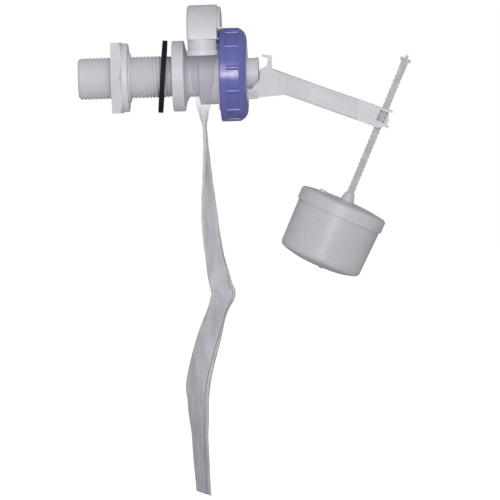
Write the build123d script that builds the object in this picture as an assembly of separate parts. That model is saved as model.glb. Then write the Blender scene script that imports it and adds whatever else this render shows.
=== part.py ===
from build123d import *
from math import cos, hypot, pi, radians, tan
import os

# A side-entry diaphragm float valve for a cistern, in millimetres.
# The valve axis is X, pointing into the tank. +Z is up. The front side, with the outlet, is -Y.
# The origin is where the valve axis meets the flange face that seals against the tank wall.

# Inlet tail and flange
THREAD_R = 20.955 / 2  # crest of the 1/2 inch parallel pipe thread
THREAD_ROOT_R = THREAD_R - 1.162
TAIL_END = -47.3
TAIL_CHAMFER = 1.2
FREE_THREAD_END = -32.0  # the stretch beyond the backnut, where the supply connector screws on
GROOVE_WIDTH = 1.0
INLET_R = 6.8
INLET_DEPTH_X = -8.0
FLANGE_R = 17.7
FLANGE_THICK = 5.9
FLANGE_EDGE = 0.5

# Strainer and flow restrictor in the inlet bore
STRAINER_X = (TAIL_END + 0.4, -24.0)
STRAINER_R = 6.0
STRAINER_BORE_R = 5.2
STRAINER_SLOT = 8.0
STRAINER_SLOT_X = (-43.5, -34.3)  # where the two rows of slots begin
RESTRICTOR_X = -13.0
RESTRICTOR_HOLE_R = 2.2

# Neck, barrel and threaded head
NECK_R = 10.5
NECK_X = 8.4
BARREL_R = 14.6
BARREL_X = 13.7
SHOULDER_X = 23.0
SHOULDER_R = 17.9
HEAD_X = 24.4
HEAD_R = 20.5
FRONT_X = 30.0  # front face of the body, where the diaphragm is clamped
NOZZLE_R = 4.2
NOZZLE_TIP_X = FRONT_X - 0.1
CHAMBER_X = 14.5
CHAMBER_IN_R = 6.2
CHAMBER_OUT_R = 12.2
SPIDER_X = (18.0, 21.0)
PIN_TIP_X = 34.0

# Riser, overhead hood and outlet collar
PORT_X = 15.8
PORT_R = 3.8
RISER_R = 6.0
RISER_TOP = 20.3
SEAL_GROOVE = (16.3, 17.9)
COLLAR_Y = -19.2
COLLAR_R = 7.2
COLLAR_BORE_R = 6.2
COLLAR_BOTTOM = 10.3
HOOD_X0 = 8.5
HOOD_X1 = 23.4
HOOD_R = 17.0
HOOD_Y = COLLAR_Y + HOOD_R - COLLAR_R - 0.5
HOOD_Z = 18.4
HOOD_WALL = 1.8
HOOD_EDGE = 1.7
SOCKET_R = 7.1
SOCKET_BOTTOM = 15.0
PLATE_R = 16.0
PLATE_X1 = 25.3
PLATE_EDGE = 0.8
PLATE_Z0 = 23.8  # the plate's rim stops above the cap nut
CLIP_TALL = 2.4

# Diaphragm, its rigid plate, and the front cover
RUBBER = 1.6
CLAMP_R = 19.6
COVER_BACK = FRONT_X + RUBBER
COVER_CAVITY_R = 11.5
COVER_CAVITY_X = 35.4
COVER_FLANGE_X = 35.0
COVER_DISC_R = 15.2
COVER_DISC_X = 37.4
NOSE_R = 8.0
NOSE_X = 43.1
PLATE_FLANGE_R = 9.0
PLATE_WING_X = 24.5
PLATE_STEM_R = 3.1
PIN_R = 0.5
LUG_Y = (5.6, 8.3)
LUG_R = 2.6

# Cap nut
NUT_X0 = 23.9
NUT_X1 = 37.3
NUT_R = 23.4
NUT_BORE_R = 20.75
NUT_LEDGE_X = 35.2
NUT_HOLE_R = 15.6
NUT_ROUND = 5.4
GRIPS = 12
GRIP_PHASE = 9.5
GRIP_X = (27.4, 33.6)
GRIP_DEPTH = 0.9
RIB_R = 1.15

# Lever: its pivot, fork, arm and jaw
PAD_FACE_X = NOSE_X + 0.5
PIVOT_X = 41.2
PIVOT_Z = -9.9
PIVOT_PIN_R = 1.25
CLOSING_ANGLE = 20.0  # from the open rest position to the pad closing the pilot nozzle
FORK_OUT = 10.3
FORK_IN = 8.7
ARM_OUT = 4.8
ARM_WALL = 1.6
TAPER_X = (52.0, 68.0)  # where the lever narrows from the fork to the arm
FORK_END = ((38.6, -8.6), (40.4, -6.2), (43.6, -3.4), (44.0, 2.6), (46.4, 3.4))
ARM_TOP = ((49.6, 2.3), (105.2, -19.2))
ARM_TIP = ((105.6, -24.0), (102.4, -29.2))
ARM_BOTTOM = ((98.7, -27.5), (56.2, -10.9), (38.6, -12.0))
ARM_CORNER = 0.8  # radius of the side view's corners
ARM_BEVEL = 0.8  # along the arm's long edges
PANEL_DEEP = 0.6
CELLS = ((52.6, 88.6), (90.2, 96.0))  # pockets under the arm, between its cross ribs
TAB = ((46.8, 0.5), (48.2, 7.7), (45.3, 8.6), (45.3, 9.8), (50.1, 9.0), (50.1, 1.0))
JAW_LEFT = 92.0
JAW_RIGHT = ((107.4, -22.6), (107.2, -26.4), (104.6, -28.6), (101.0, -28.6))
JAW_WINDOW = ((-1.9, 6.0), (-3.2, 2.4))  # the clip's open front, in the rod's frame
LEVER_HEAD_X = (PAD_FACE_X + 1.0, PAD_FACE_X + 3.4)
PAD_R = 3.0
PAD_THICK = 1.88

# Adjusting rod, in a frame at the jaw: w runs up along the rod, u to the right of it
JAW_X = 104.4
JAW_Z = -22.8
ROD_TILT = 24.3
ROD_WIDE = 3.6
ROD_DEEP = 3.0
ROD_TOP = 30.9
ROD_SHOULDER = -42.1  # where the rod narrows to the spigot in the float's boss
ROD_BOTTOM = -46.0
ROD_FIT = 0.15
HEAD_WIDE = 5.5
HEAD_THICK = 1.7
KNOB = 1.6
NOTCH_FIRST = -38.0
NOTCHES = 25
NOTCH_PITCH = 2.5
NOTCH_DEPTH = 0.35

# Float
FLOAT_U = -0.75
FLOAT_LEAN = 1.3  # the float sits a little askew on its rod
LID_TOP = -47.9
LID_R = 22.7
LID_SKIRT = 6.6
LID_CROWN = 1.5
LID_WALL = 1.2
LID_TAB = ((-14.2, -10.4), (-4.0, 4.0), (LID_TOP - 0.4, LID_TOP + 1.7))
CUP_R = 22.0
CUP_BASE_R = 21.2
CUP_BOTTOM = -79.8
CUP_DOME = 2.2
CUP_WALL = 1.1
BOSS_R = 2.4
BOSS_FOOT_R = 4.0
BOSS_TOP = LID_TOP + 5.7
SPIGOT_R = 1.4

# Fastening pieces on the tail
BACKNUT_X0 = -30.5
BACKNUT_X1 = -22.1
BACKNUT_FLAT = 17.6  # from the axis to a flat; the flats are up and down
BACKNUT_COLLAR_X = -24.9
BACKNUT_COLLAR_R = 17.2
BACKNUT_BORE_R = 10.58
SLIP_R = 12.4
SLIP_THICK = 1.0
WASHER_X = -5.05
WASHER_R = 18.15
WASHER_HOLE_R = 11.0
WASHER_THICK = 2.5
WASHER_LEAN = 5.2
WASHER_SWING = 2.0

# Silencer tube: a limp film tube, folded lengthwise, that hangs from the collar
TUBE_WIDE = 12.5
TUBE_DEEP = 6.0
TUBE_ROUTE = [  # (x, z) in the plane y = COLLAR_Y
    (PORT_X, COLLAR_BOTTOM - 0.4),
    (14.8, -13.5),
    (15.7, -38.0),
    (16.2, -63.0),
    (17.8, -86.0),
    (21.2, -106.5),
    (17.4, -122.0),
    (11.6, -140.0),
    (7.9, -156.0),
    (7.8, -173.7),
    (8.7, -192.2),
    (9.4, -210.5),
]


def turned(*outline):
    """Solid of revolution about the valve axis, from (x, radius) corners."""
    return revolve(make_face(Plane.XZ * Polyline(*outline, close=True)), Axis.X, 360)


def disc(radius, x0, x1):
    """Solid cylinder on the valve axis."""
    return turned((x0, 0), (x1, 0), (x1, radius), (x0, radius))


def ring(inner, outer, x0, x1):
    """Plain ring on the valve axis."""
    return turned((x0, inner), (x1, inner), (x1, outer), (x0, outer))


def upright(x, y, radius, z0, z1):
    """Vertical cylinder."""
    return Pos(x, y, (z0 + z1) / 2) * Cylinder(radius, z1 - z0)


def crosswise(x, z, radius, half_width):
    """Cylinder across the valve, along Y."""
    return Pos(x, 0, z) * Rot(X=90) * Cylinder(radius, 2 * half_width)


def block(x, y, z):
    """Box from three (low, high) pairs."""
    centre = [(low + high) / 2 for low, high in (x, y, z)]
    return Pos(*centre) * Box(x[1] - x[0], y[1] - y[0], z[1] - z[0])


def side_plate(corners, y0, y1):
    """Prism between two Y planes, from (x, z) corners."""
    face = make_face(Plane.XZ * Polyline(*corners, close=True))
    return Pos(0, y1, 0) * extrude(face, y1 - y0, dir=(0, -1, 0))


def around_pivot(shape, angle):
    """Turn a shape about the lever's pivot. A positive angle raises the arm."""
    return Pos(PIVOT_X, 0, PIVOT_Z) * Rot(Y=-angle) * Pos(-PIVOT_X, 0, -PIVOT_Z) * shape


def on_rod(shape):
    """Carry a shape from the rod's own frame, x = u and z = w, to its place in the jaw."""
    return Pos(JAW_X, 0, JAW_Z) * Rot(Y=ROD_TILT) * shape


def on_float(shape):
    """Carry a shape from the float's own upright frame to its place on the rod."""
    return on_rod(Pos(FLOAT_U, 0, LID_TOP) * Rot(Y=FLOAT_LEAN) * Pos(0, 0, -LID_TOP) * shape)


def lathe(outline):
    """Solid of revolution about Z, from a closed (radius, z) outline."""
    return revolve(make_face(Plane.XZ * outline), Axis.Z, 360)


def domed(middle_z, edge_r, edge_z):
    """Outline of a dome: flat at the boss in its middle, then an arc, level at its inner end."""
    run = edge_r - BOSS_FOOT_R
    rise = middle_z - edge_z
    arc_r = (run**2 + rise**2) / (2 * abs(rise))
    drop = (arc_r - (arc_r**2 - run**2 / 4) ** 0.5) * (1 if rise > 0 else -1)
    halfway = (BOSS_FOOT_R + run / 2, middle_z - drop)
    flat = Line((0, middle_z), (BOSS_FOOT_R, middle_z))
    return flat + ThreePointArc((BOSS_FOOT_R, middle_z), halfway, (edge_r, edge_z))


def valve_body():
    groove_x1 = FREE_THREAD_END + GROOVE_WIDTH
    outside = turned(
        (TAIL_END, 0),
        (TAIL_END, THREAD_R - TAIL_CHAMFER),
        (TAIL_END + TAIL_CHAMFER, THREAD_R),
        (FREE_THREAD_END, THREAD_R),
        (FREE_THREAD_END, THREAD_ROOT_R),
        (groove_x1, THREAD_ROOT_R),
        (groove_x1, THREAD_R),
        (0, THREAD_R),
        (0, FLANGE_R),
        (FLANGE_THICK, FLANGE_R),
        (FLANGE_THICK + 1.0, NECK_R + 2.6),
        (NECK_X, NECK_R),
        (BARREL_X - 0.8, NECK_R),
        (BARREL_X, BARREL_R),
        (SHOULDER_X, BARREL_R),
        (SHOULDER_X, SHOULDER_R),
        (HEAD_X, SHOULDER_R),
        (HEAD_X, HEAD_R),
        (FRONT_X, HEAD_R),
        (FRONT_X, 0),
    )
    rim = [e for e in outside.edges().filter_by(GeomType.CIRCLE) if abs(e.radius - FLANGE_R) < 0.01]
    outside = fillet(rim, FLANGE_EDGE)
    body = outside + upright(PORT_X, 0, RISER_R, NOZZLE_R + 4, RISER_TOP)
    inlet = disc(INLET_R, TAIL_END, INLET_DEPTH_X)
    waterway = disc(NOZZLE_R, INLET_DEPTH_X, FRONT_X)
    chamber = ring(CHAMBER_IN_R, CHAMBER_OUT_R, CHAMBER_X, FRONT_X)
    lip = ring(0, CHAMBER_IN_R, NOZZLE_TIP_X, FRONT_X)
    lip_bevel = turned(
        (NOZZLE_TIP_X - 1.6, CHAMBER_IN_R),
        (NOZZLE_TIP_X, NOZZLE_R + 0.9),
        (NOZZLE_TIP_X, CHAMBER_IN_R),
    )
    port = upright(PORT_X, 0, PORT_R, 9.0, RISER_TOP)
    seal_groove = upright(PORT_X, 0, RISER_R, *SEAL_GROOVE) - upright(
        PORT_X, 0, RISER_R - 1.0, *SEAL_GROOVE
    )
    body = body - inlet - waterway - chamber - lip - lip_bevel - port - seal_groove
    return body + pin_spider()


def pin_spider():
    """Three webs in the nozzle that carry the metering pin at its centre."""
    hub = ring(PIN_R, 1.5, *SPIDER_X)
    webs = [
        Rot(X=120 * turn) * block(SPIDER_X, (-0.5, 0.5), (1.2, NOZZLE_R + 0.3))
        for turn in range(3)
    ]
    return Part() + [hub, *webs]


def metering_pin():
    shaft = disc(PIN_R, SPIDER_X[0], PIN_TIP_X)
    return chamfer(shaft.edges().sort_by(Axis.X)[-1], 0.2)


def inlet_strainer():
    """A slotted cup in the mouth of the tail that keeps grit out of the valve."""
    mouth, bottom = STRAINER_X
    rim = ring(STRAINER_BORE_R, INLET_R - 0.05, mouth, mouth + 2.0)
    wall = ring(STRAINER_BORE_R, STRAINER_R, mouth, bottom)
    basket = rim + wall + disc(STRAINER_R, bottom - 1.0, bottom)
    for x0 in STRAINER_SLOT_X:
        slot = block((x0, x0 + STRAINER_SLOT), (-0.9, 0.9), (STRAINER_BORE_R - 0.6, STRAINER_R + 0.6))
        for turn in range(8):
            basket -= Rot(X=45 * turn) * slot
    return basket


def flow_restrictor():
    """A plug against the shoulder of the inlet bore, with one small hole."""
    plug = ring(RESTRICTOR_HOLE_R, INLET_R - 0.05, RESTRICTOR_X, INLET_DEPTH_X)
    throat_x = RESTRICTOR_X + 2.5
    funnel = turned((RESTRICTOR_X, 0), (RESTRICTOR_X, 5.0), (throat_x, 2.0), (throat_x, 0))
    return plug - funnel


def diaphragm():
    """Rubber disc, clamped at its rim, with a hole for the rigid plate's stem."""
    return ring(PLATE_STEM_R + 0.1, CLAMP_R - 1.1, FRONT_X, COVER_BACK)


def diaphragm_plate():
    """Rigid centre of the diaphragm, guided in the nozzle by three wings."""
    wing_x = (PLATE_WING_X, FRONT_X - 0.6)
    stem = disc(PLATE_STEM_R, FRONT_X - 0.6, COVER_BACK + 0.1)
    flange = disc(PLATE_FLANGE_R, COVER_BACK + 0.05, COVER_BACK + 1.45)
    hub = disc(1.9, *wing_x)
    wings = [
        Rot(X=60 + 120 * turn) * block(wing_x, (-0.5, 0.5), (1.0, NOZZLE_R - 0.3))
        for turn in range(3)
    ]
    plate = Part() + [stem, flange, hub, *wings]
    return plate - disc(PIN_R + 0.1, PLATE_WING_X - 0.5, COVER_BACK + 2.0)


def front_cover():
    """Cover over the diaphragm: clamp flange, control chamber, nose and pivot lugs."""
    outside = turned(
        (COVER_BACK, 0),
        (COVER_BACK, CLAMP_R),
        (COVER_FLANGE_X, CLAMP_R),
        (COVER_FLANGE_X, COVER_DISC_R),
        (COVER_DISC_X, COVER_DISC_R),
        (COVER_DISC_X, NOSE_R),
        (NOSE_X - 1.0, NOSE_R),
        (NOSE_X - 1.0, NOSE_R + 0.25),
        (NOSE_X, NOSE_R + 0.25),
        (NOSE_X, 0),
    )
    lug_root = block((COVER_DISC_X - 0.5, PIVOT_X), LUG_Y, (PIVOT_Z - LUG_R, PIVOT_Z + LUG_R))
    lug_end = Rot(X=90) * Cylinder(LUG_R, LUG_Y[1] - LUG_Y[0])
    lug = lug_root + Pos(PIVOT_X, sum(LUG_Y) / 2, PIVOT_Z) * lug_end
    lugs = lug + mirror(lug, Plane.XZ)
    cover = outside + lugs
    cover -= disc(COVER_CAVITY_R, COVER_BACK, COVER_CAVITY_X)
    cover -= disc(1.2, COVER_CAVITY_X, NOSE_X)
    cover -= disc(2.6, NOSE_X - 2.8, NOSE_X)
    return cover - crosswise(PIVOT_X, PIVOT_Z, PIVOT_PIN_R, FORK_OUT)


def pilot_nozzle():
    """Insert in the nose whose small hole the lever's pad closes."""
    tip = NOSE_X + 0.45
    return turned(
        (NOSE_X - 2.8, 0.5),
        (tip, 0.5),
        (tip, 1.2),
        (NOSE_X, 2.0),
        (NOSE_X, 2.6),
        (NOSE_X - 2.8, 2.6),
    )


def pivot_pin():
    pin = crosswise(PIVOT_X, PIVOT_Z, PIVOT_PIN_R, FORK_OUT + 0.5)
    return chamfer(pin.edges().filter_by(GeomType.CIRCLE), 0.3)


def cap_nut():
    """Screwed ring that clamps the cover, with round grip ribs in a shallow band."""
    shell = turned(
        (NUT_X0, NUT_BORE_R),
        (NUT_X0, NUT_R - 0.5),
        (NUT_X0 + 0.5, NUT_R),
        (NUT_X1, NUT_R),
        (NUT_X1, NUT_HOLE_R),
        (NUT_LEDGE_X, NUT_HOLE_R),
        (NUT_LEDGE_X, NUT_BORE_R),
    )
    rim = [e for e in shell.edges().filter_by(GeomType.CIRCLE) if e.radius > NUT_R - 0.1]
    shell = fillet(max(rim, key=lambda e: e.center().X), NUT_ROUND)
    band_r = NUT_R - GRIP_DEPTH
    shell -= ring(band_r, NUT_R + 1, *GRIP_X)
    middle = sum(GRIP_X) / 2
    rib = Pos(middle, 0, band_r) * Rot(Y=90) * Cylinder(RIB_R, GRIP_X[1] - GRIP_X[0] + 0.2)
    for turn in range(GRIPS):
        angle = 90 - GRIP_PHASE + turn * 360 / GRIPS
        shell += Rot(X=angle) * rib
    return shell


def discharge_hood():
    """Half-drum that carries the water up, over and down to the outlet collar."""
    drum = half_drum(HOOD_R, HOOD_X0, HOOD_X1)
    drum = fillet(drum.edges().filter_by(GeomType.CIRCLE).sort_by(Axis.X)[0], HOOD_EDGE)
    cavity = half_drum(HOOD_R - HOOD_WALL, HOOD_X0 + HOOD_WALL, HOOD_X1) & block(
        (HOOD_X0, HOOD_X1), (-40, 40), (HOOD_Z + HOOD_WALL, 60)
    )
    socket = upright(PORT_X, 0, SOCKET_R, SOCKET_BOTTOM, HOOD_Z + 1)
    collar = upright(PORT_X, COLLAR_Y, COLLAR_R, COLLAR_BOTTOM, HOOD_Z + 1)
    hood = drum + socket + collar - cavity
    hood -= upright(PORT_X, 0, RISER_R + 0.05, SOCKET_BOTTOM, RISER_TOP)
    return hood - upright(PORT_X, COLLAR_Y, COLLAR_BORE_R, COLLAR_BOTTOM, HOOD_Z + 3)


def half_drum(radius, x0, x1):
    """Half a drum on its side, flat at the bottom."""
    whole = Pos((x0 + x1) / 2, HOOD_Y, HOOD_Z) * Rot(Y=90) * Cylinder(radius, x1 - x0)
    return whole & block((x0, x1), (-60, 60), (HOOD_Z, 80))


def hood_end_plate():
    """Cover welded into the hood's open side. Its rim stands proud above the cap nut."""
    inner_r = HOOD_R - HOOD_WALL - 0.02
    plug = half_drum(inner_r, HOOD_X1 - 1.5, HOOD_X1) & block(
        (HOOD_X0, HOOD_X1), (-40, 40), (HOOD_Z + HOOD_WALL + 0.02, 60)
    )
    rim = half_drum(PLATE_R, HOOD_X1, PLATE_X1)
    rim = fillet(rim.edges().filter_by(GeomType.CIRCLE).sort_by(Axis.X)[-1], PLATE_EDGE)
    rim -= half_drum(PLATE_R - 2.0, HOOD_X1 + 0.01, PLATE_X1)
    return plug + (rim & block((HOOD_X1, PLATE_X1), (-40, 40), (PLATE_Z0, 60)))


def hood_seal():
    """O-ring in the riser's groove."""
    middle = (SEAL_GROOVE[0] + SEAL_GROOVE[1]) / 2
    return Pos(PORT_X, 0, middle) * Torus(RISER_R - 0.475, 0.5)


def tube_clip():
    """Ring that holds the silencer tube on the outlet collar."""
    top = COLLAR_BOTTOM + CLIP_TALL
    outer = upright(PORT_X, COLLAR_Y, COLLAR_R + 0.55, COLLAR_BOTTOM, top)
    clip = outer - upright(PORT_X, COLLAR_Y, COLLAR_R + 0.05, COLLAR_BOTTOM, top)
    return fillet(clip.edges().filter_by(GeomType.CIRCLE).sort_by(Axis.Z)[-1], 0.2)


def silencer_tube():
    """The film tube along its hanging route: straight runs joined by tangent arcs."""
    points = [Vector(x, COLLAR_Y, z) for x, z in TUBE_ROUTE]
    radii = []
    for before, corner, after in zip(points, points[1:], points[2:]):
        turn = radians((corner - before).get_angle(after - corner))
        shorter = min((corner - before).length, (after - corner).length)
        radii.append(0.45 * shorter / tan(turn / 2))
    path = FilletPolyline(*points, radius=radii)
    start = Plane(origin=points[0], x_dir=(0, 1, 0), z_dir=points[1] - points[0])
    section = start * RectangleRounded(TUBE_DEEP, TUBE_WIDE, TUBE_DEEP * 0.45)
    tube = sweep(section, path)
    print("tube arc radii", [round(r, 1) for r in radii])
    print("tube length", round(path.length, 1), "volume ratio", tube.volume / (section.area * path.length))
    return tube


def arm_line(edge, x, drop=0.0):
    """Height of the arm's top or bottom edge at x, lowered by drop square to the edge."""
    (x0, z0), (x1, z1) = edge[:2]
    slope = (z1 - z0) / (x1 - x0)
    return z0 + (x - x0) * slope - drop * hypot(1, slope)


def lever_side():
    """The lever's side view: fork end, arm and the root of the jaw."""
    corners = FORK_END + ARM_TOP + ARM_TIP + ARM_BOTTOM
    outline = make_face(Plane.XZ * Polyline(*corners, close=True))
    outline = fillet(outline.vertices(), ARM_CORNER)
    return Pos(0, FORK_OUT, 0) * extrude(outline, 2 * FORK_OUT, dir=(0, -1, 0))


def plan_prism(fork, arm):
    """The lever seen from above: wide at the fork, tapering to the arm."""
    half = [(30.0, fork), (TAPER_X[0], fork), (TAPER_X[1], arm), (120.0, arm)]
    other = [(x, -y) for x, y in reversed(half)]
    outline = make_face(Polyline(*half, *other, close=True))
    return Pos(0, 0, -40) * extrude(outline, 60, dir=(0, 0, 1))


def under_arm():
    """The channel under the arm's top web, closed at the ribs."""
    space = Part()
    for x0, x1 in CELLS:
        top = [arm_line(ARM_TOP, x, ARM_WALL) for x in (x0, x1)]
        space += side_plate([(x0, top[0]), (x1, top[1]), (x1, -40), (x0, -40)], -FORK_OUT, FORK_OUT)
    return space & plan_prism(FORK_IN, ARM_OUT - ARM_WALL)


def side_panels():
    """Shallow panels in the arm's sides, which leave a rim along its top and bottom edges."""
    panels = Part()
    for x0, x1 in CELLS:
        x0 = max(x0, 57.0)
        lower = ARM_BOTTOM[:2]
        corners = [
            (x0, arm_line(ARM_TOP, x0, 1.5)),
            (x1, arm_line(ARM_TOP, x1, 1.5)),
            (x1, arm_line(lower, x1, -1.1)),
            (x0, arm_line(lower, x0, -1.1)),
        ]
        panels += side_plate(corners, -FORK_OUT, FORK_OUT)
    return panels - plan_prism(FORK_OUT - PANEL_DEEP, ARM_OUT - PANEL_DEEP)


def edge_bevels(edge, up):
    """What is cut off where the arm's sides meet its top (up = 1) or its bottom (up = -1)."""
    first = max(TAPER_X[0], edge[0][0])
    sections = []
    for x in (first, TAPER_X[1], edge[1][0]):
        along = max(0.0, min(1.0, (x - TAPER_X[0]) / (TAPER_X[1] - TAPER_X[0])))
        side = FORK_OUT + along * (ARM_OUT - FORK_OUT)
        z = arm_line(edge, x)
        corner = [
            (x, side - ARM_BEVEL, z),
            (x, side, z - up * ARM_BEVEL),
            (x, side + 1.0, z - up * ARM_BEVEL),
            (x, side + 1.0, z + up),
            (x, side - ARM_BEVEL, z + up),
        ]
        sections.append(make_face(Polyline(*corner[::up], close=True)))  # always wound the same way
    bevel = loft(sections, ruled=True)
    return bevel + mirror(bevel, Plane.XZ)


def lever_arm():
    """Forked lever: cheeks at the pivot, a head behind the pad, a channel arm and a jaw."""
    fork_gap = block((30.0, 51.0), (-FORK_IN, FORK_IN), (-30.0, 20.0))
    lever = (lever_side() & plan_prism(FORK_OUT, ARM_OUT)) - fork_gap - under_arm() - side_panels()
    lever -= edge_bevels(ARM_TOP, 1) + edge_bevels(ARM_BOTTOM[1::-1], -1)
    head = block(LEVER_HEAD_X, (-FORK_IN - 0.5, FORK_IN + 0.5), (-4.6, 4.2))
    lever += around_pivot(head, -CLOSING_ANGLE)
    lever += test_tab() + jaw()
    slot = on_rod(
        block(
            (-ROD_WIDE / 2 - ROD_FIT, ROD_WIDE / 2 + ROD_FIT),
            (-ROD_DEEP / 2 - ROD_FIT, ROD_DEEP / 2 + ROD_FIT),
            (-12.0, 12.0),
        )
    )
    window = on_rod(block(JAW_WINDOW[0], (-ARM_OUT - 1, -ROD_DEEP / 2), JAW_WINDOW[1]))
    pad_seat = around_pivot(disc(PAD_R, PAD_FACE_X, PAD_FACE_X + PAD_THICK + 0.02), -CLOSING_ANGLE)
    pin_hole = crosswise(PIVOT_X, PIVOT_Z, PIVOT_PIN_R + 0.05, FORK_OUT + 1)
    return lever - slot - window - pad_seat - pin_hole


def test_tab():
    """Upright finger tab on the front cheek, bent over at the top."""
    return side_plate(TAB, -FORK_OUT, -FORK_IN)


def jaw():
    """Guide for the rod, upright at its right side, with two small nibs."""
    right_x = JAW_RIGHT[0][0] + 0.9
    corners = [
        (JAW_LEFT, arm_line(ARM_TOP, JAW_LEFT)),
        (right_x, arm_line(ARM_TOP, right_x)),
        *JAW_RIGHT,
        (JAW_LEFT, arm_line(ARM_BOTTOM, JAW_LEFT)),
    ]
    shell = side_plate(corners, -ARM_OUT, ARM_OUT)
    upper_nib = on_rod(block((2.0, 4.0), (-ARM_OUT, ARM_OUT), (3.0, 4.0)))
    lower_nib = on_rod(block((1.8, 4.9), (-ARM_OUT, ARM_OUT), (-4.9, -3.7)))
    return shell + upper_nib + lower_nib


def pilot_seal():
    """Rubber pad in the lever's head."""
    return around_pivot(disc(PAD_R - 0.02, PAD_FACE_X, PAD_FACE_X + PAD_THICK), -CLOSING_ANGLE)


def float_rod():
    """Notched adjusting rod with a small T head."""
    half = ROD_WIDE / 2
    rod = block((-half, half), (-ROD_DEEP / 2, ROD_DEEP / 2), (ROD_SHOULDER, ROD_TOP))
    head = block((-HEAD_WIDE / 2, HEAD_WIDE / 2), (-1.5, 1.5), (ROD_TOP - HEAD_THICK, ROD_TOP))
    knob = block((-KNOB / 2, KNOB / 2), (-1.1, 1.1), (ROD_TOP, ROD_TOP + KNOB))
    tail = upright(0, 0, SPIGOT_R, ROD_BOTTOM, ROD_SHOULDER)
    rod = rod + head + knob + tail
    notch = [(-half - 0.1, 0.8), (-half + NOTCH_DEPTH, 0), (-half - 0.1, -0.8)]
    tooth = side_plate(notch, -ROD_DEEP, ROD_DEEP)
    for step in range(NOTCHES):
        w = NOTCH_FIRST + step * NOTCH_PITCH
        rod -= Pos(0, 0, w) * tooth
        rod -= Pos(0, 0, w) * mirror(tooth, Plane.YZ)
    return on_rod(rod)


def float_lid():
    """Lid with a skirt that grips the cup, and a boss for the rod."""
    skirt_end = LID_TOP - LID_SKIRT
    seat = LID_TOP - LID_WALL - 0.6
    crown = LID_TOP + LID_CROWN
    socket_r = CUP_R + 0.03
    outside = Polyline(
        (0, crown),
        (0, skirt_end),
        (LID_R, skirt_end),
        (LID_R, LID_TOP - 1.0),
        (LID_R - 1.2, LID_TOP),
    ) + domed(crown, LID_R - 1.2, LID_TOP)
    inside = Polyline(
        (0, crown - LID_WALL),
        (0, skirt_end - 1),
        (socket_r, skirt_end - 1),
        (socket_r, seat),
    ) + domed(crown - LID_WALL, socket_r, seat)
    shell = on_float(lathe(outside) - lathe(inside) + block(*LID_TAB))
    corners = [(0, LID_TOP), (BOSS_FOOT_R, LID_TOP), (BOSS_R, BOSS_TOP), (0, BOSS_TOP)]
    boss = on_rod(lathe(Polyline(*corners, close=True)))
    return shell + boss - on_rod(upright(0, 0, SPIGOT_R, ROD_BOTTOM, BOSS_TOP))


def float_cup():
    """Thin cup under the lid, with a slightly domed base."""
    rim = LID_TOP - LID_WALL - 0.65
    middle = CUP_BOTTOM - CUP_DOME
    inner_r = CUP_R - CUP_WALL
    base_in = CUP_BASE_R - CUP_WALL
    outside = Polyline(
        (0, middle),
        (0, rim),
        (CUP_R, rim),
        (CUP_BASE_R + 0.1, CUP_BOTTOM + 2.4),
        (CUP_BASE_R - 0.7, CUP_BOTTOM + 0.8),
        (CUP_BASE_R - 2.4, CUP_BOTTOM),
    ) + domed(middle, CUP_BASE_R - 2.4, CUP_BOTTOM)
    inside = Polyline(
        (0, middle + CUP_WALL),
        (0, LID_TOP),
        (inner_r, LID_TOP),
        (base_in, CUP_BOTTOM + 2.4),
        (base_in - 1.6, CUP_BOTTOM + CUP_WALL),
    ) + domed(middle + CUP_WALL, base_in - 1.6, CUP_BOTTOM + CUP_WALL)
    nib = upright(2.0, 0, 0.9, middle - 0.7, middle + 0.8)
    return on_float(lathe(outside) - lathe(inside) + nib)


def backnut():
    """Hexagon nut with flats up and down, turned down to a round collar at its wall side."""
    length = BACKNUT_X1 - BACKNUT_X0
    corner_r = BACKNUT_FLAT / cos(pi / 6)
    hexagon = Plane.YZ * RegularPolygon(corner_r, 6)
    nut = Pos(BACKNUT_X0, 0, 0) * extrude(hexagon, length, dir=(1, 0, 0))
    nut &= turned(
        (BACKNUT_X0, 0),
        (BACKNUT_X0, corner_r - 0.8),
        (BACKNUT_X0 + 0.6, corner_r),
        (BACKNUT_COLLAR_X - 1.4, corner_r),
        (BACKNUT_COLLAR_X, BACKNUT_COLLAR_R),
        (BACKNUT_X1 - 0.4, BACKNUT_COLLAR_R),
        (BACKNUT_X1, BACKNUT_COLLAR_R - 0.4),
        (BACKNUT_X1, 0),
    )
    return nut - disc(BACKNUT_BORE_R, BACKNUT_X0, BACKNUT_X1)


def slip_washer():
    return ring(BACKNUT_BORE_R + 0.02, SLIP_R, BACKNUT_X1, BACKNUT_X1 + SLIP_THICK)


def sealing_washer():
    """Loose rubber washer, leaning a little on the thread."""
    half = WASHER_THICK / 2
    flat = ring(WASHER_HOLE_R, WASHER_R, -half, half)
    flat = fillet(flat.edges().filter_by(GeomType.CIRCLE).sort_by(lambda e: -e.radius)[:2], 0.3)
    return Pos(WASHER_X, 0, 0) * Rot(Z=WASHER_SWING) * Rot(Y=WASHER_LEAN) * flat


NODES = [
    valve_body,
    inlet_strainer,
    flow_restrictor,
    metering_pin,
    diaphragm,
    diaphragm_plate,
    front_cover,
    pilot_nozzle,
    pivot_pin,
    cap_nut,
    discharge_hood,
    hood_end_plate,
    hood_seal,
    tube_clip,
    silencer_tube,
    lever_arm,
    pilot_seal,
    float_rod,
    float_lid,
    float_cup,
    backnut,
    slip_washer,
    sealing_washer,
]

os.makedirs("parts", exist_ok=True)
for node in NODES:
    export_step(node(), f"parts/{node.__name__}.step")
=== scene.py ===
"""The looks of a side-entry diaphragm float valve: film tube, threads, materials, light and camera.

Lengths are metres in the CAD frame: +X along the valve axis into the tank, +Z up, the outlet at -Y.
"""

from math import asin, cos, hypot, pi, radians, sin, sqrt, tanh

import bmesh
import bpy
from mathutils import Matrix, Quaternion, Vector, noise


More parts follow.
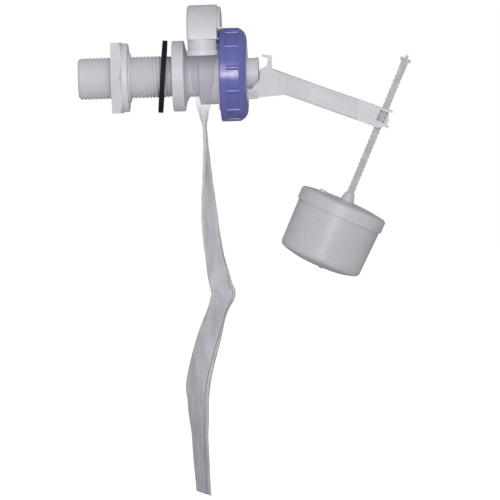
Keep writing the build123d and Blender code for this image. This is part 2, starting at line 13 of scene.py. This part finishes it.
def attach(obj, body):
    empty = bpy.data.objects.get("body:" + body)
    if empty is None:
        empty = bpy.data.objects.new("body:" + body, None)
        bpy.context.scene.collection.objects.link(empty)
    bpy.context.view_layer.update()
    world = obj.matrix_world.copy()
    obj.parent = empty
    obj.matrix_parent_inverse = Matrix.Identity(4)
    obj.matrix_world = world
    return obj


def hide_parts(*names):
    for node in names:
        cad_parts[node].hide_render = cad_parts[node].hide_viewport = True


MM = 0.001

# Camera
TARGET = Vector((36.3, -12.0, -87.8)) * MM
DISTANCE = 4.0
FRAME_WIDTH = 0.250  # what the picture takes in at the target
AZIMUTH = 2.0
ELEVATION = 2.0
ROLL = -1.8

# Light and floor. Each lamp: place, size, power.
FRONT_LAMP = ((0.10, -1.38, 0.24), 0.9, 6.0)
SPARK_LAMP = ((0.12, -1.40, 0.05), 0.24, 3.0)
BACK_LAMP = ((-0.3, 1.3, 0.5), 1.2, 4.0)
AMBIENT = 0.46
REFLECTED = 0.2  # what glossy surfaces see of the surroundings
FLOOR_Z = -0.30
FLOOR_HALF = 6.0

# Surface of the moulded pieces
TOOL_GRAIN = 0.02 * MM
UNEVENNESS = 0.12 * MM

# Silencer tube: a limp film tube clamped round the outlet collar, folded lengthwise below it
OUTLET = Vector((15.8, -19.2, 10.3)) * MM
FILM = 0.00012
RING_R = 7.45 * MM
BARREL_CLEAR_R = 15.3 * MM  # the film lies on the barrel at this radius
ROUTE = [  # (x, z) in the plane of the outlet's axis
    (15.8, 10.2),
    (15.3, -13.5),
    (16.3, -38.0),
    (17.0, -63.0),
    (18.6, -86.0),
    (22.2, -106.6),
    (23.6, -108.8),
    (22.3, -111.2),
    (18.4, -121.0),
    (13.1, -137.0),
    (9.1, -151.5),
    (8.2, -159.0),
    (8.6, -173.7),
    (8.9, -192.2),
    (9.7, -210.5),
]

# Below the collar the ring closes to a ribbon of four layers, edge-on at first, that turns
# to face the front and is creased twice. Each station: height, how far closed, turn, width.
FILM_STATIONS = [
    (10.2, 0.00, 90, 12.0),
    (2.0, 0.20, 90, 12.0),
    (-14.0, 0.58, 90, 12.0),
    (-19.0, 0.78, 90, 12.0),
    (-25.0, 1.00, 90, 12.0),
    (-34.0, 1.00, 88, 12.0),
    (-42.0, 1.00, 80, 12.0),
    (-52.0, 1.00, 71, 12.0),
    (-62.0, 1.00, 57, 12.0),
    (-72.0, 1.00, 44, 12.0),
    (-87.0, 1.00, 37, 12.0),
    (-103.0, 1.00, 16, 12.0),
    (-109.0, 1.00, 12, 12.2),
    (-117.0, 1.00, 28, 12.0),
    (-136.0, 1.00, 4, 12.4),
    (-153.0, 1.00, -4, 12.4),
    (-163.0, 1.00, -30, 12.0),
    (-182.0, 1.00, -49, 11.6),
    (-211.0, 1.00, -52, 11.2),
]
END_SLANT = 4.0 * MM  # the open end is cut askew, shorter at its left
SLANT_FROM = 0.94  # the share of the length where the slant begins
SECTION_POINTS = 72
LAYER_GAP = 0.22 * MM  # half the space between the layers of a side
FOLD_R = 0.45 * MM  # how tightly the ring doubles over
ARM_SPLAY = 0.05  # the two sides open by this share of their width
SHORT_SIDE = 0.86  # one side of the fold is a little narrower than the other
PLEATS = 9
PLEAT_DEPTH = 0.35 * MM
RIPPLE_DEPTH = 0.5 * MM
RIPPLE_TURNS = Vector((150, 150, 45))  # per metre: long down the tube

# How clear the film is from its kink (0) up to the collar (1), where it is spread thinnest
FILM_CLARITY = [(0.0, 0.15), (0.3, 0.52), (0.84, 0.60), (0.95, 0.94)]
KINK_TO_COLLAR = (-112 * MM, -8 * MM)
PAINTED_LIGHT_HEIGHTS = (-150 * MM, -55 * MM)  # heights over which painted light makes the film paler towards the top

# Half-inch parallel pipe thread on the tail
THREAD_R = 10.4775 * MM
THREAD_PITCH = 1.814 * MM
THREAD_DEPTH = 0.52 * MM  # shallower than the standard form's 1.16 mm
TAIL_END = -47.3 * MM
INLET_R = 6.8 * MM
INLET_DEPTH_X = -8.0 * MM
INLET_CHAMFER = 0.4 * MM
NOZZLE_R = 4.2 * MM
TAIL_CHAMFER = 1.3 * MM
RUN_OUT = (-2.6 * MM, -1.2 * MM)  # where the thread fades out before the flange
CUT_X = -0.05 * MM  # where the CAD's body ends and the threaded tail begins
SHARPNESS = 0.75  # towards 0 the thread is a sine wave, and at 1 a sharp V
THREAD_SIDES = 96
THREAD_ANGLES = [side * 2 * pi / THREAD_SIDES for side in range(THREAD_SIDES)]
ROWS_PER_TURN = 12


def smooth(value, low, high):
    """0 below low, 1 above high, and an even turn between them."""
    t = min(1.0, max(0.0, (value - low) / (high - low)))
    return t * t * (3 - 2 * t)


def between(stations, z):
    """Values at height z, from stations (z, value, ...) that run downwards."""
    for above, below in zip(stations, stations[1:]):
        if z >= below[0]:
            t = smooth(above[0] - z, 0.0, above[0] - below[0])
            return [a + (b - a) * t for a, b in zip(above[1:], below[1:])]
    return list(stations[-1][1:])


def mesh_object(name, points, faces):
    mesh = bpy.data.meshes.new(name)
    mesh.from_pydata(points, [], faces)
    mesh.validate()
    mesh.shade_smooth()
    piece = bpy.data.objects.new(name, mesh)
    bpy.context.scene.collection.objects.link(piece)
    return piece


def bridge(points, sides):
    """Quads from each ring of points to the next, with the rings one after another."""
    faces = []
    for first in range(0, len(points) - sides, sides):
        second = first + sides
        for i in range(sides):
            j = (i + 1) % sides
            faces.append((first + i, first + j, second + j, second + i))
    return faces


# Camera, light and floor


def add_camera():
    camera = bpy.data.objects.new("camera", bpy.data.cameras.new("camera"))
    bpy.context.scene.collection.objects.link(camera)
    azimuth = radians(AZIMUTH)
    elevation = radians(ELEVATION)
    toward = Vector((sin(azimuth) * cos(elevation), -cos(azimuth) * cos(elevation), sin(elevation)))
    camera.location = TARGET + toward * DISTANCE
    look = (-toward).to_track_quat("-Z", "Y")
    camera.rotation_mode = "QUATERNION"
    camera.rotation_quaternion = look @ Quaternion((0, 0, 1), radians(ROLL))
    camera.data.sensor_width = 36
    camera.data.lens = 36 * DISTANCE / FRAME_WIDTH
    camera.data.clip_start = 0.05
    bpy.context.scene.camera = camera


def add_lamp(name, place, size, power):
    light = bpy.data.lights.new(name, "AREA")
    light.shape = "DISK"
    light.size = size
    light.energy = power
    lamp = bpy.data.objects.new(name, light)
    bpy.context.scene.collection.objects.link(lamp)
    lamp.location = place
    aim = TARGET - Vector(place)
    lamp.rotation_mode = "QUATERNION"
    lamp.rotation_quaternion = aim.to_track_quat("-Z", "Y")
    return lamp


def add_light():
    """Soft front and back light and a small bright lamp, on a background the camera sees as white."""
    world = bpy.data.worlds.new("studio")
    bpy.context.scene.world = world
    world.use_nodes = True
    tree = world.node_tree
    background = tree.nodes["Background"]
    seen = tree.nodes.new("ShaderNodeLightPath")
    strength = tree.nodes.new("ShaderNodeMapRange")
    around = ranged(tree, seen.outputs["Is Glossy Ray"], (0.0, 1.0), (AMBIENT, REFLECTED))
    tree.links.new(around, strength.inputs["To Min"])
    strength.inputs["To Max"].default_value = 1.0
    tree.links.new(seen.outputs["Is Camera Ray"], strength.inputs["Value"])
    tree.links.new(strength.outputs["Result"], background.inputs["Strength"])
    background.inputs["Color"].default_value = (1.0, 1.0, 1.0, 1)
    add_lamp("front", *FRONT_LAMP)
    add_lamp("spark", *SPARK_LAMP)
    back = add_lamp("back", *BACK_LAMP)
    back.visible_glossy = False
    bpy.context.scene.view_settings.view_transform = "Standard"


def add_floor():
    """A pale sheet under the object, bright enough to vanish into the background."""
    sides = ((-1, -1), (1, -1), (1, 1), (-1, 1))
    corners = [(x * FLOOR_HALF, y * FLOOR_HALF, FLOOR_Z) for x, y in sides]
    floor = mesh_object("floor", corners, [(0, 1, 2, 3)])
    material, tree, output = new_material("floor_paper")
    paper = tree.nodes.new("ShaderNodeBsdfDiffuse")
    paper.inputs["Color"].default_value = (0.9, 0.9, 0.9, 1)
    glow = tree.nodes.new("ShaderNodeEmission")
    glow.inputs["Strength"].default_value = 0.75
    total = tree.nodes.new("ShaderNodeAddShader")
    tree.links.new(paper.outputs[0], total.inputs[0])
    tree.links.new(glow.outputs[0], total.inputs[1])
    tree.links.new(total.outputs[0], output.inputs["Surface"])
    floor.data.materials.append(material)
    floor.visible_diffuse = False
    floor.visible_glossy = False


# Materials


def new_material(name):
    material = bpy.data.materials.new(name)
    material.use_nodes = True
    tree = material.node_tree
    tree.nodes.clear()
    output = tree.nodes.new("ShaderNodeOutputMaterial")
    return material, tree, output


def speckle(tree, scale, detail=3.0, stretch=(1, 1, 1)):
    """Noise fixed to the piece. Scale is in turns per metre."""
    place = tree.nodes.new("ShaderNodeTexCoord")
    mapping = tree.nodes.new("ShaderNodeMapping")
    mapping.inputs["Scale"].default_value = stretch
    texture = tree.nodes.new("ShaderNodeTexNoise")
    texture.inputs["Scale"].default_value = scale
    texture.inputs["Detail"].default_value = detail
    tree.links.new(place.outputs["Object"], mapping.inputs["Vector"])
    tree.links.new(mapping.outputs["Vector"], texture.inputs["Vector"])
    return texture.outputs["Fac"]


def ranged(tree, value, source, target):
    """Maps a value from its source range to a target range, and holds it at the ends."""
    node = tree.nodes.new("ShaderNodeMapRange")
    node.inputs["From Min"].default_value = source[0]
    node.inputs["From Max"].default_value = source[1]
    node.inputs["To Min"].default_value = target[0]
    node.inputs["To Max"].default_value = target[1]
    tree.links.new(value, node.inputs["Value"])
    return node.outputs["Result"]


def spread(tree, value, low, high):
    """Stretches the middle of a noise value to run from low to high."""
    return ranged(tree, value, (0.3, 0.7), (low, high))


def combined(tree, operation, first, second):
    node = tree.nodes.new("ShaderNodeMath")
    node.operation = operation
    tree.links.new(first, node.inputs[0])
    tree.links.new(second, node.inputs[1])
    return node.outputs["Value"]


def two_tone(tree, value, dark, light):
    node = tree.nodes.new("ShaderNodeValToRGB")
    node.color_ramp.elements[0].position = 0.3
    node.color_ramp.elements[0].color = (*dark, 1)
    node.color_ramp.elements[1].position = 0.7
    node.color_ramp.elements[1].color = (*light, 1)
    tree.links.new(value, node.inputs["Fac"])
    return node.outputs["Color"]


def bumps(tree, heights):
    """Normal from several (noise value, depth in metres) layers."""
    normal = None
    for value, depth in heights:
        node = tree.nodes.new("ShaderNodeBump")
        node.inputs["Distance"].default_value = depth
        tree.links.new(value, node.inputs["Height"])
        if normal is not None:
            tree.links.new(normal, node.inputs["Normal"])
        normal = node.outputs["Normal"]
    return normal


def moulded(name, colour, roughness=0.42, mottle=0.05, milkiness=0.0, gloss=0.5):
    """Moulded plastic: cloudy colour, uneven sheen and a fine tool texture. Milky ones let light in."""
    material, tree, output = new_material(name)
    shader = tree.nodes.new("ShaderNodeBsdfPrincipled")
    dark = [c * (1 - mottle) for c in colour]
    light = [min(1.0, c * (1 + mottle)) for c in colour]
    tree.links.new(two_tone(tree, speckle(tree, 45), dark, light), shader.inputs["Base Color"])
    uneven = spread(tree, speckle(tree, 260, 5), roughness - 0.07, roughness + 0.07)
    tree.links.new(uneven, shader.inputs["Roughness"])
    layers = [(speckle(tree, 3200, 2), TOOL_GRAIN), (speckle(tree, 150, 2), UNEVENNESS)]
    tree.links.new(bumps(tree, layers), shader.inputs["Normal"])
    shader.inputs["Specular IOR Level"].default_value = gloss
    shader.inputs["Subsurface Weight"].default_value = milkiness
    shader.inputs["Subsurface Radius"].default_value = (1.0, 0.95, 0.9)
    shader.inputs["Subsurface Scale"].default_value = 0.0025
    tree.links.new(shader.outputs[0], output.inputs["Surface"])
    return material


def film_height(tree):
    place = tree.nodes.new("ShaderNodeTexCoord")
    height = tree.nodes.new("ShaderNodeSeparateXYZ")
    tree.links.new(place.outputs["Object"], height.inputs["Vector"])
    return height.outputs["Z"]


def film_skin(tree, height):
    """The film's smooth milky surface, streaked down its length, with painted light making it paler
    towards the top.
    """
    skin = tree.nodes.new("ShaderNodeBsdfPrincipled")
    streaks = speckle(tree, 420, 4, (1.0, 1.0, 0.16))
    tone = two_tone(tree, streaks, (0.58, 0.565, 0.605), (0.77, 0.755, 0.79))
    lit = tree.nodes.new("ShaderNodeHueSaturation")
    tree.links.new(tone, lit.inputs["Color"])
    # painted light: the film's colour is brightened with height, standing in for the light that falls
    # off lower down
    tree.links.new(ranged(tree, height, PAINTED_LIGHT_HEIGHTS, (0.96, 1.25)), lit.inputs["Value"])
    tree.links.new(lit.outputs["Color"], skin.inputs["Base Color"])
    tree.links.new(spread(tree, streaks, 0.24, 0.40), skin.inputs["Roughness"])
    ripples = bumps(tree, [(speckle(tree, 300, 3, (1, 1, 0.3)), 0.0003)])
    tree.links.new(ripples, skin.inputs["Normal"])
    return skin.outputs[0]


def film_clarity(tree, height):
    """How much of the view passes straight through: patchy, less at a slant, more at the top."""
    patches = spread(tree, speckle(tree, 90, 3, (1, 1, 0.25)), 0.24, 0.44)
    slant = tree.nodes.new("ShaderNodeLayerWeight")
    slant.inputs["Blend"].default_value = 0.35
    face_on = ranged(tree, slant.outputs["Facing"], (0.0, 1.0), (1.0, 0.25))
    clarity = combined(tree, "MULTIPLY", patches, face_on)
    thinness = tree.nodes.new("ShaderNodeValToRGB")
    stops = thinness.color_ramp.elements
    while len(stops) < len(FILM_CLARITY):
        stops.new(0.5)
    for stop, (position, level) in zip(stops, FILM_CLARITY):
        stop.position = position
        stop.color = (level, level, level, 1)
    tree.links.new(ranged(tree, height, KINK_TO_COLLAR, (0.0, 1.0)), thinness.inputs["Fac"])
    return combined(tree, "MAXIMUM", clarity, thinness.outputs["Color"])


def film_material():
    """Thin polyethylene film, clear face-on and milky where it is seen edge-on or lies in layers."""
    material, tree, output = new_material("film")
    height = film_height(tree)
    through = tree.nodes.new("ShaderNodeBsdfTranslucent")
    through.inputs["Color"].default_value = (0.92, 0.91, 0.935, 1)
    body = tree.nodes.new("ShaderNodeMixShader")
    body.inputs["Fac"].default_value = 0.35
    tree.links.new(film_skin(tree, height), body.inputs[1])
    tree.links.new(through.outputs[0], body.inputs[2])
    clear = tree.nodes.new("ShaderNodeBsdfTransparent")
    clear.inputs["Color"].default_value = (0.98, 0.98, 0.985, 1)
    mix = tree.nodes.new("ShaderNodeMixShader")
    tree.links.new(film_clarity(tree, height), mix.inputs["Fac"])
    tree.links.new(body.outputs[0], mix.inputs[1])
    tree.links.new(clear.outputs[0], mix.inputs[2])
    tree.links.new(mix.outputs[0], output.inputs["Surface"])
    return material


def rubber_material():
    material, tree, output = new_material("rubber")
    shader = tree.nodes.new("ShaderNodeBsdfPrincipled")
    tone = two_tone(tree, speckle(tree, 300, 4), (0.006, 0.006, 0.006), (0.016, 0.016, 0.017))
    tree.links.new(tone, shader.inputs["Base Color"])
    tree.links.new(spread(tree, speckle(tree, 500, 4), 0.55, 0.75), shader.inputs["Roughness"])
    tree.links.new(bumps(tree, [(speckle(tree, 2500, 3), 0.00004)]), shader.inputs["Normal"])
    shader.inputs["Specular IOR Level"].default_value = 0.25
    tree.links.new(shader.outputs[0], output.inputs["Surface"])
    return material


def steel_material():
    material, tree, output = new_material("steel")
    shader = tree.nodes.new("ShaderNodeBsdfPrincipled")
    drawn = speckle(tree, 900, 3, (0.05, 1, 1))
    tone = two_tone(tree, drawn, (0.50, 0.50, 0.51), (0.66, 0.66, 0.67))
    tree.links.new(tone, shader.inputs["Base Color"])
    tree.links.new(spread(tree, drawn, 0.22, 0.38), shader.inputs["Roughness"])
    tree.links.new(bumps(tree, [(drawn, 0.00001)]), shader.inputs["Normal"])
    shader.inputs["Metallic"].default_value = 1.0
    tree.links.new(shader.outputs[0], output.inputs["Surface"])
    return material


# Silencer tube


def route_line():
    """Points along the tube's centreline, read from a NURBS spline through its route."""
    curve = bpy.data.curves.new("route", "CURVE")
    curve.dimensions = "3D"
    curve.resolution_u = 24
    spline = curve.splines.new("NURBS")
    spline.points.add(len(ROUTE) - 1)
    for point, (x, z) in zip(spline.points, ROUTE):
        point.co = (x * MM, OUTLET.y, z * MM, 1)
    spline.order_u = 3
    spline.use_endpoint_u = True
    holder = bpy.data.objects.new("route", curve)
    bpy.context.scene.collection.objects.link(holder)
    mesh = bpy.data.meshes.new_from_object(holder)
    points = [vertex.co.copy() for vertex in mesh.vertices]
    bpy.data.objects.remove(holder)
    bpy.data.meshes.remove(mesh)
    return points


def film_section(angle, closed, width):
    """A point of the film's section. The ring's near side stays; its far side is pushed in to it."""
    pleat = PLEAT_DEPTH * sin(PLEATS * angle) * closed * (1 - closed) * 4
    ring = (-(RING_R + pleat) * cos(angle), (RING_R + pleat) * sin(angle))
    along = width * asin(sin(angle)) / (pi / 2)
    if along < 0:
        along *= SHORT_SIDE
    layer = LAYER_GAP * (abs(cos(angle)) ** 0.3) * (1 if cos(angle) > 0 else -1)
    u = sqrt(along * along + FOLD_R * FOLD_R) - FOLD_R - width / 2 - layer
    v = FOLD_R * tanh(along / FOLD_R) + ARM_SPLAY * along + layer * tanh(along / FOLD_R)
    return ring[0] + (u - ring[0]) * closed, ring[1] + (v - ring[1]) * closed


def film_ring(line, i):
    """The film's section at a point of the centreline: turned, rippled, cut askew near the open end."""
    centre = line[i]
    depth = Vector((0, 1, 0))
    ahead = line[min(i + 1, len(line) - 1)] - line[max(i - 1, 0)]
    across = ahead.normalized().cross(depth).normalized()
    closed, turn, width = between(FILM_STATIONS, centre.z / MM)
    turn = radians(turn)
    near_end = smooth(i / len(line), SLANT_FROM, 1.0)
    points = []
    for step in range(SECTION_POINTS):
        u, v = film_section(step * 2 * pi / SECTION_POINTS, closed, width * MM)
        right = u * cos(turn) - v * sin(turn)
        back = u * sin(turn) + v * cos(turn)
        point = centre + across * right + depth * back
        point += depth * noise.noise(point * RIPPLE_TURNS) * RIPPLE_DEPTH * closed
        point.z += END_SLANT * near_end * (0.5 - right / (width * MM))
        if hypot(point.y, point.z) < BARREL_CLEAR_R:
            point.y = -sqrt(BARREL_CLEAR_R**2 - point.z**2)
        points.append(point)
    return points


def silencer_film():
    line = route_line()
    points = []
    for i in range(len(line)):
        points += film_ring(line, i)
    film = mesh_object("silencer_film", points, bridge(points, SECTION_POINTS))
    wall = film.modifiers.new("wall", "SOLIDIFY")
    wall.thickness = FILM
    wall.offset = 0
    film.data.materials.append(film_material())
    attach(film, "body")
    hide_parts("silencer_tube")


# Threaded tail


def thread_height(turns):
    """The rounded form of a pipe thread, from 0 at the root to 1 at the crest."""
    return 0.5 + 0.5 * asin(SHARPNESS * cos(2 * pi * turns)) / asin(SHARPNESS)


def thread_radius(x, angle):
    full = THREAD_R - THREAD_DEPTH * (1 - thread_height(x / THREAD_PITCH - angle / (2 * pi)))
    radius = full + (THREAD_R - THREAD_DEPTH - full) * smooth(x, *RUN_OUT)
    chamfer = THREAD_R - TAIL_CHAMFER + (x - TAIL_END)
    return min(radius, chamfer)


def body_past_tail(source):
    """The valve body from its flange onwards, without the CAD's crest cylinder."""
    mesh = source.data.copy()
    shape = bmesh.new()
    shape.from_mesh(mesh)
    geometry = shape.verts[:] + shape.edges[:] + shape.faces[:]
    bmesh.ops.bisect_plane(
        shape, geom=geometry, plane_co=(CUT_X, 0, 0), plane_no=(1, 0, 0), clear_inner=True
    )
    shape.to_mesh(mesh)
    shape.free()
    body = bpy.data.objects.new("valve_body_threaded", mesh)
    bpy.context.scene.collection.objects.link(body)
    return body


def tail_ring(x, radii):
    """Points round the tail at x, with a radius for each angle."""
    return [(x, radius * cos(angle), radius * sin(angle)) for angle, radius in zip(THREAD_ANGLES, radii)]


def threaded_tail():
    """The tail: down its bore to the open end, and back along its thread to the flange."""
    bore = [(CUT_X, NOZZLE_R), (INLET_DEPTH_X, NOZZLE_R), (INLET_DEPTH_X, INLET_R)]
    bore += [(TAIL_END + INLET_CHAMFER, INLET_R), (TAIL_END, INLET_R + INLET_CHAMFER)]
    points = []
    for x, radius in bore:
        points += tail_ring(x, [radius] * THREAD_SIDES)
    rows = int((CUT_X - TAIL_END) / THREAD_PITCH * ROWS_PER_TURN)
    for row in range(rows + 1):
        x = TAIL_END + (CUT_X - TAIL_END) * row / rows
        points += tail_ring(x, [thread_radius(x, angle) for angle in THREAD_ANGLES])
    points += tail_ring(CUT_X, [THREAD_R] * THREAD_SIDES)
    return mesh_object("tail", points, bridge(points, THREAD_SIDES))


def main_body(frame, plastic):
    body = body_past_tail(frame["nodes"]["valve_body"])
    for piece in (body, threaded_tail()):
        piece.data.materials.clear()
        piece.data.materials.append(plastic)
        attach(piece, "body")
    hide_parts("valve_body")


def dress(frame, finishes):
    """Gives each CAD node the material of its kind."""
    for names, material in finishes:
        for name in names:
            slots = frame["nodes"][name].data.materials
            slots.clear()
            slots.append(material)


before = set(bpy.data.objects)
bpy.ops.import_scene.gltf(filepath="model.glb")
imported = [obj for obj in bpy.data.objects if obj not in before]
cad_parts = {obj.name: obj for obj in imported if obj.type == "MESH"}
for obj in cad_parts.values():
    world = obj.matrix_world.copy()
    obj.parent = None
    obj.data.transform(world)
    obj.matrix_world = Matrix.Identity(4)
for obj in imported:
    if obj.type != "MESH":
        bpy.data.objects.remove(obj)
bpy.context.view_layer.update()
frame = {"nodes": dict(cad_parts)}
add_camera()
add_light()
add_floor()
silencer_film()

body_plastic = moulded("body_plastic", (0.70, 0.69, 0.745), milkiness=0.15)
hood_plastic = moulded("hood_plastic", (0.68, 0.67, 0.715), milkiness=0.15)
nut_plastic = moulded("nut_plastic", (0.76, 0.75, 0.80), milkiness=0.15)
lever_plastic = moulded("lever_plastic", (0.70, 0.69, 0.73), 0.45, milkiness=0.3, gloss=0.2)
rod_plastic = moulded("rod_plastic", (0.40, 0.39, 0.43), 0.36, milkiness=0.3)
lid_plastic = moulded("lid_plastic", (0.62, 0.61, 0.65), 0.36, milkiness=0.3)
cup_plastic = moulded("cup_plastic", (0.60, 0.59, 0.63), 0.30, milkiness=0.3)
cap_plastic = moulded("cap_plastic", (0.15, 0.154, 0.46), 0.22, 0.04, gloss=0.8)
insert_plastic = moulded("insert_plastic", (0.60, 0.60, 0.58), 0.45)

main_body(frame, body_plastic)
dress(
    frame,
    [
        (["front_cover"], body_plastic),
        (["discharge_hood", "hood_end_plate"], hood_plastic),
        (["backnut", "slip_washer", "tube_clip"], nut_plastic),
        (["lever_arm", "pivot_pin"], lever_plastic),
        (["float_rod"], rod_plastic),
        (["float_lid"], lid_plastic),
        (["float_cup"], cup_plastic),
        (["cap_nut"], cap_plastic),
        (["inlet_strainer", "flow_restrictor", "diaphragm_plate", "pilot_nozzle"], insert_plastic),
        (["sealing_washer", "diaphragm", "pilot_seal", "hood_seal"], rubber_material()),
        (["metering_pin"], steel_material()),
    ],
)
